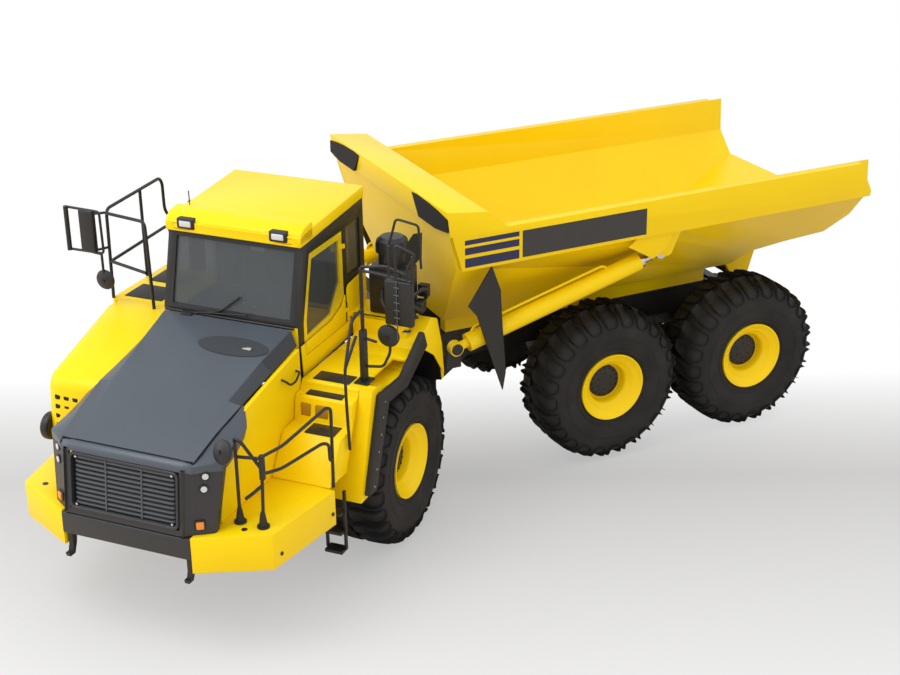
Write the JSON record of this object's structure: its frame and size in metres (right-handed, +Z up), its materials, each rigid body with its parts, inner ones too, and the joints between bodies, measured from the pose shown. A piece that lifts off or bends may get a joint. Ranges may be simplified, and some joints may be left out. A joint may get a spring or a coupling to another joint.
{
  "type": "articulated dump truck",
  "caption": "Articulated dump truck with a tipping body, a jointed frame that steers and rolls, wheels that turn, a lifting hood and a cab door.",
  "frame": {"origin": "centre of the whole outline on the ground, as parked with the tractor turned left", "axes": "+X forward along the rear unit, +Y left, +Z up"},
  "size_m": [10.4454, 5.474, 3.675],
  "materials": {
    "yellow_paint": "gloss",
    "charcoal_paint": "satin",
    "frame_paint": "satin",
    "black_steel": "satin",
    "tyre_rubber": "matt",
    "rubber": "matt",
    "cab_glass": "clear",
    "lamp_glass": "gloss",
    "trim_plastic": "matt",
    "seat_cloth": "matt",
    "rod_chrome": "polished",
    "engine_iron": "matt"
  },
  "bodies": {
    "rear_unit": {"rear_frame": "frame_paint", "hoist_beam": "frame_paint", "tow_clevis": "frame_paint", "rear_axles": "frame_paint", "equalizer_beams": "frame_paint"},
    "hitch": {"hitch": "frame_paint"},
    "tractor": {"front_frame": "frame_paint", "front_axle": "frame_paint", "engine_block": "engine_iron", "nose": "charcoal_paint", "grille": "charcoal_paint", "bumper_beam": "charcoal_paint", "bumper_wings": "yellow_paint", "side_panel_left": "yellow_paint", "cover_right": "yellow_paint", "fenders": "yellow_paint", "fender_flares": "rubber", "access_steps": "yellow_paint", "cab_shell": "yellow_paint", "cab_roof": "yellow_paint", "cab_glass": "cab_glass", "seat": "seat_cloth", "console": "trim_plastic", "lamps": "lamp_glass", "mirrors": "black_steel", "handrails": "black_steel", "deck_gear": "black_steel", "tow_hooks": "black_steel"},
    "dump_body": {"dump_body": "yellow_paint", "body_guards": "rubber"},
    "hoist_barrels": {"hoist_barrels": "yellow_paint"},
    "hoist_rods": {"hoist_rods": "rod_chrome"},
    "hoist_sleeves": {"hoist_sleeves": "rod_chrome"},
    "hood": {"hood": "charcoal_paint"},
    "cab_door": {"cab_door": "yellow_paint", "door_glass": "cab_glass"},
    "steering_barrel_left": {"steering_barrel_left": "frame_paint"},
    "steering_rod_left": {"steering_rod_left": "rod_chrome"},
    "wheel_front_left": {"tyre_front_left": "tyre_rubber", "wheel_front_left": "yellow_paint"},
    "wheel_mid_left": {"tyre_mid_left": "tyre_rubber", "wheel_mid_left": "yellow_paint"},
    "wheel_rear_left": {"tyre_rear_left": "tyre_rubber", "wheel_rear_left": "yellow_paint"},
    "steering_barrel_right": {"steering_barrel_right": "frame_paint"},
    "steering_rod_right": {"steering_rod_right": "rod_chrome"},
    "wheel_front_right": {"tyre_front_right": "tyre_rubber", "wheel_front_right": "yellow_paint"},
    "wheel_mid_right": {"tyre_mid_right": "tyre_rubber", "wheel_mid_right": "yellow_paint"},
    "wheel_rear_right": {"tyre_rear_right": "tyre_rubber", "wheel_rear_right": "yellow_paint"}
  },
  "joints": [
    {"name": "frame_roll", "type": "hinge", "parent": "rear_unit", "child": "hitch", "pos_m": [0.68332, -1.01699, 1.05], "axis": [1, 0, 0], "range_deg": [-8, 8]},
    {"name": "articulation", "type": "hinge", "parent": "hitch", "child": "tractor", "pos_m": [1.20332, -1.01699, 1.05], "axis": [0, 0, 1], "range_deg": [-86, 4]},
    {"name": "body_tip", "type": "hinge", "parent": "rear_unit", "child": "dump_body", "pos_m": [-4.12668, -1.01699, 1.5], "axis": [0, -1, 0], "range_deg": [0, 70]},
    {"name": "hoist_swing", "type": "hinge", "parent": "rear_unit", "child": "hoist_barrels", "pos_m": [0.35332, -1.01699, 1.76], "axis": [0, 1, 0], "range_deg": [-0.5, 6.51]},
    {"name": "hoist_sleeve_stroke", "type": "slide", "parent": "hoist_barrels", "child": "hoist_sleeves", "axis": [-0.9677, 0, 0.252], "range_m": [-0.01, 1.1764]},
    {"name": "hoist_stroke", "type": "slide", "parent": "hoist_sleeves", "child": "hoist_rods", "axis": [-0.9677, 0, 0.252], "range_m": [-0.01, 1.1764]},
    {"name": "hood_lift", "type": "hinge", "parent": "tractor", "child": "hood", "pos_m": [4.44405, 1.80013, 2.078], "axis": [-0.6561, 0.7547, 0], "range_deg": [0, 60]},
    {"name": "door_swing", "type": "hinge", "parent": "tractor", "child": "cab_door", "pos_m": [1.61491, 0.40875, 2.8], "axis": [0, 0, 1], "range_deg": [0, 75]},
    {"name": "steer_swing_left", "type": "hinge", "parent": "tractor", "child": "steering_barrel_left", "pos_m": [1.86461, 0.12761, 1.455], "axis": [0, 0, 1], "range_deg": [-1.83, 18.84]},
    {"name": "steer_stroke_left", "type": "slide", "parent": "steering_barrel_left", "child": "steering_rod_left", "axis": [-0.8281, -0.5606, 0], "range_m": [-0.0345, 0.6403]},
    {"name": "steer_swing_right", "type": "hinge", "parent": "tractor", "child": "steering_barrel_right", "pos_m": [2.42882, -0.52144, 1.455], "axis": [0, 0, 1], "range_deg": [-1.78, 17.71]},
    {"name": "steer_stroke_right", "type": "slide", "parent": "steering_barrel_right", "child": "steering_rod_right", "axis": [-0.855, -0.5186, 0], "range_m": [-0.6667, 0.0358]},
    {"name": "roll_front_left", "type": "hinge", "parent": "tractor", "child": "wheel_front_left", "pos_m": [2.36935, -0.00338, 0.93], "axis": [-0.6561, 0.7547, 0], "continuous": true},
    {"name": "roll_front_right", "type": "hinge", "parent": "tractor", "child": "wheel_front_right", "pos_m": [2.36935, -0.00338, 0.93], "axis": [-0.6561, 0.7547, 0], "continuous": true},
    {"name": "roll_mid_left", "type": "hinge", "parent": "rear_unit", "child": "wheel_mid_left", "pos_m": [-1.60168, -1.01699, 0.93], "axis": [0, 1, 0], "continuous": true},
    {"name": "roll_mid_right", "type": "hinge", "parent": "rear_unit", "child": "wheel_mid_right", "pos_m": [-1.60168, -1.01699, 0.93], "axis": [0, 1, 0], "continuous": true},
    {"name": "roll_rear_left", "type": "hinge", "parent": "rear_unit", "child": "wheel_rear_left", "pos_m": [-3.57168, -1.01699, 0.93], "axis": [0, 1, 0], "continuous": true},
    {"name": "roll_rear_right", "type": "hinge", "parent": "rear_unit", "child": "wheel_rear_right", "pos_m": [-3.57168, -1.01699, 0.93], "axis": [0, 1, 0], "continuous": true}
  ],
  "couplings": [
    {"joint": "hoist_swing", "follows": "body_tip", "ratio": 0.085846},
    {"joint": "hoist_sleeve_stroke", "follows": "body_tip", "m_per_rad": 0.95472},
    {"joint": "hoist_stroke", "follows": "body_tip", "m_per_rad": 0.95472},
    {"joint": "steer_swing_left", "follows": "articulation", "ratio": -0.20744},
    {"joint": "steer_stroke_left", "follows": "articulation", "m_per_rad": -0.42323},
    {"joint": "steer_swing_right", "follows": "articulation", "ratio": -0.19426},
    {"joint": "steer_stroke_right", "follows": "articulation", "m_per_rad": 0.44087}
  ]
}
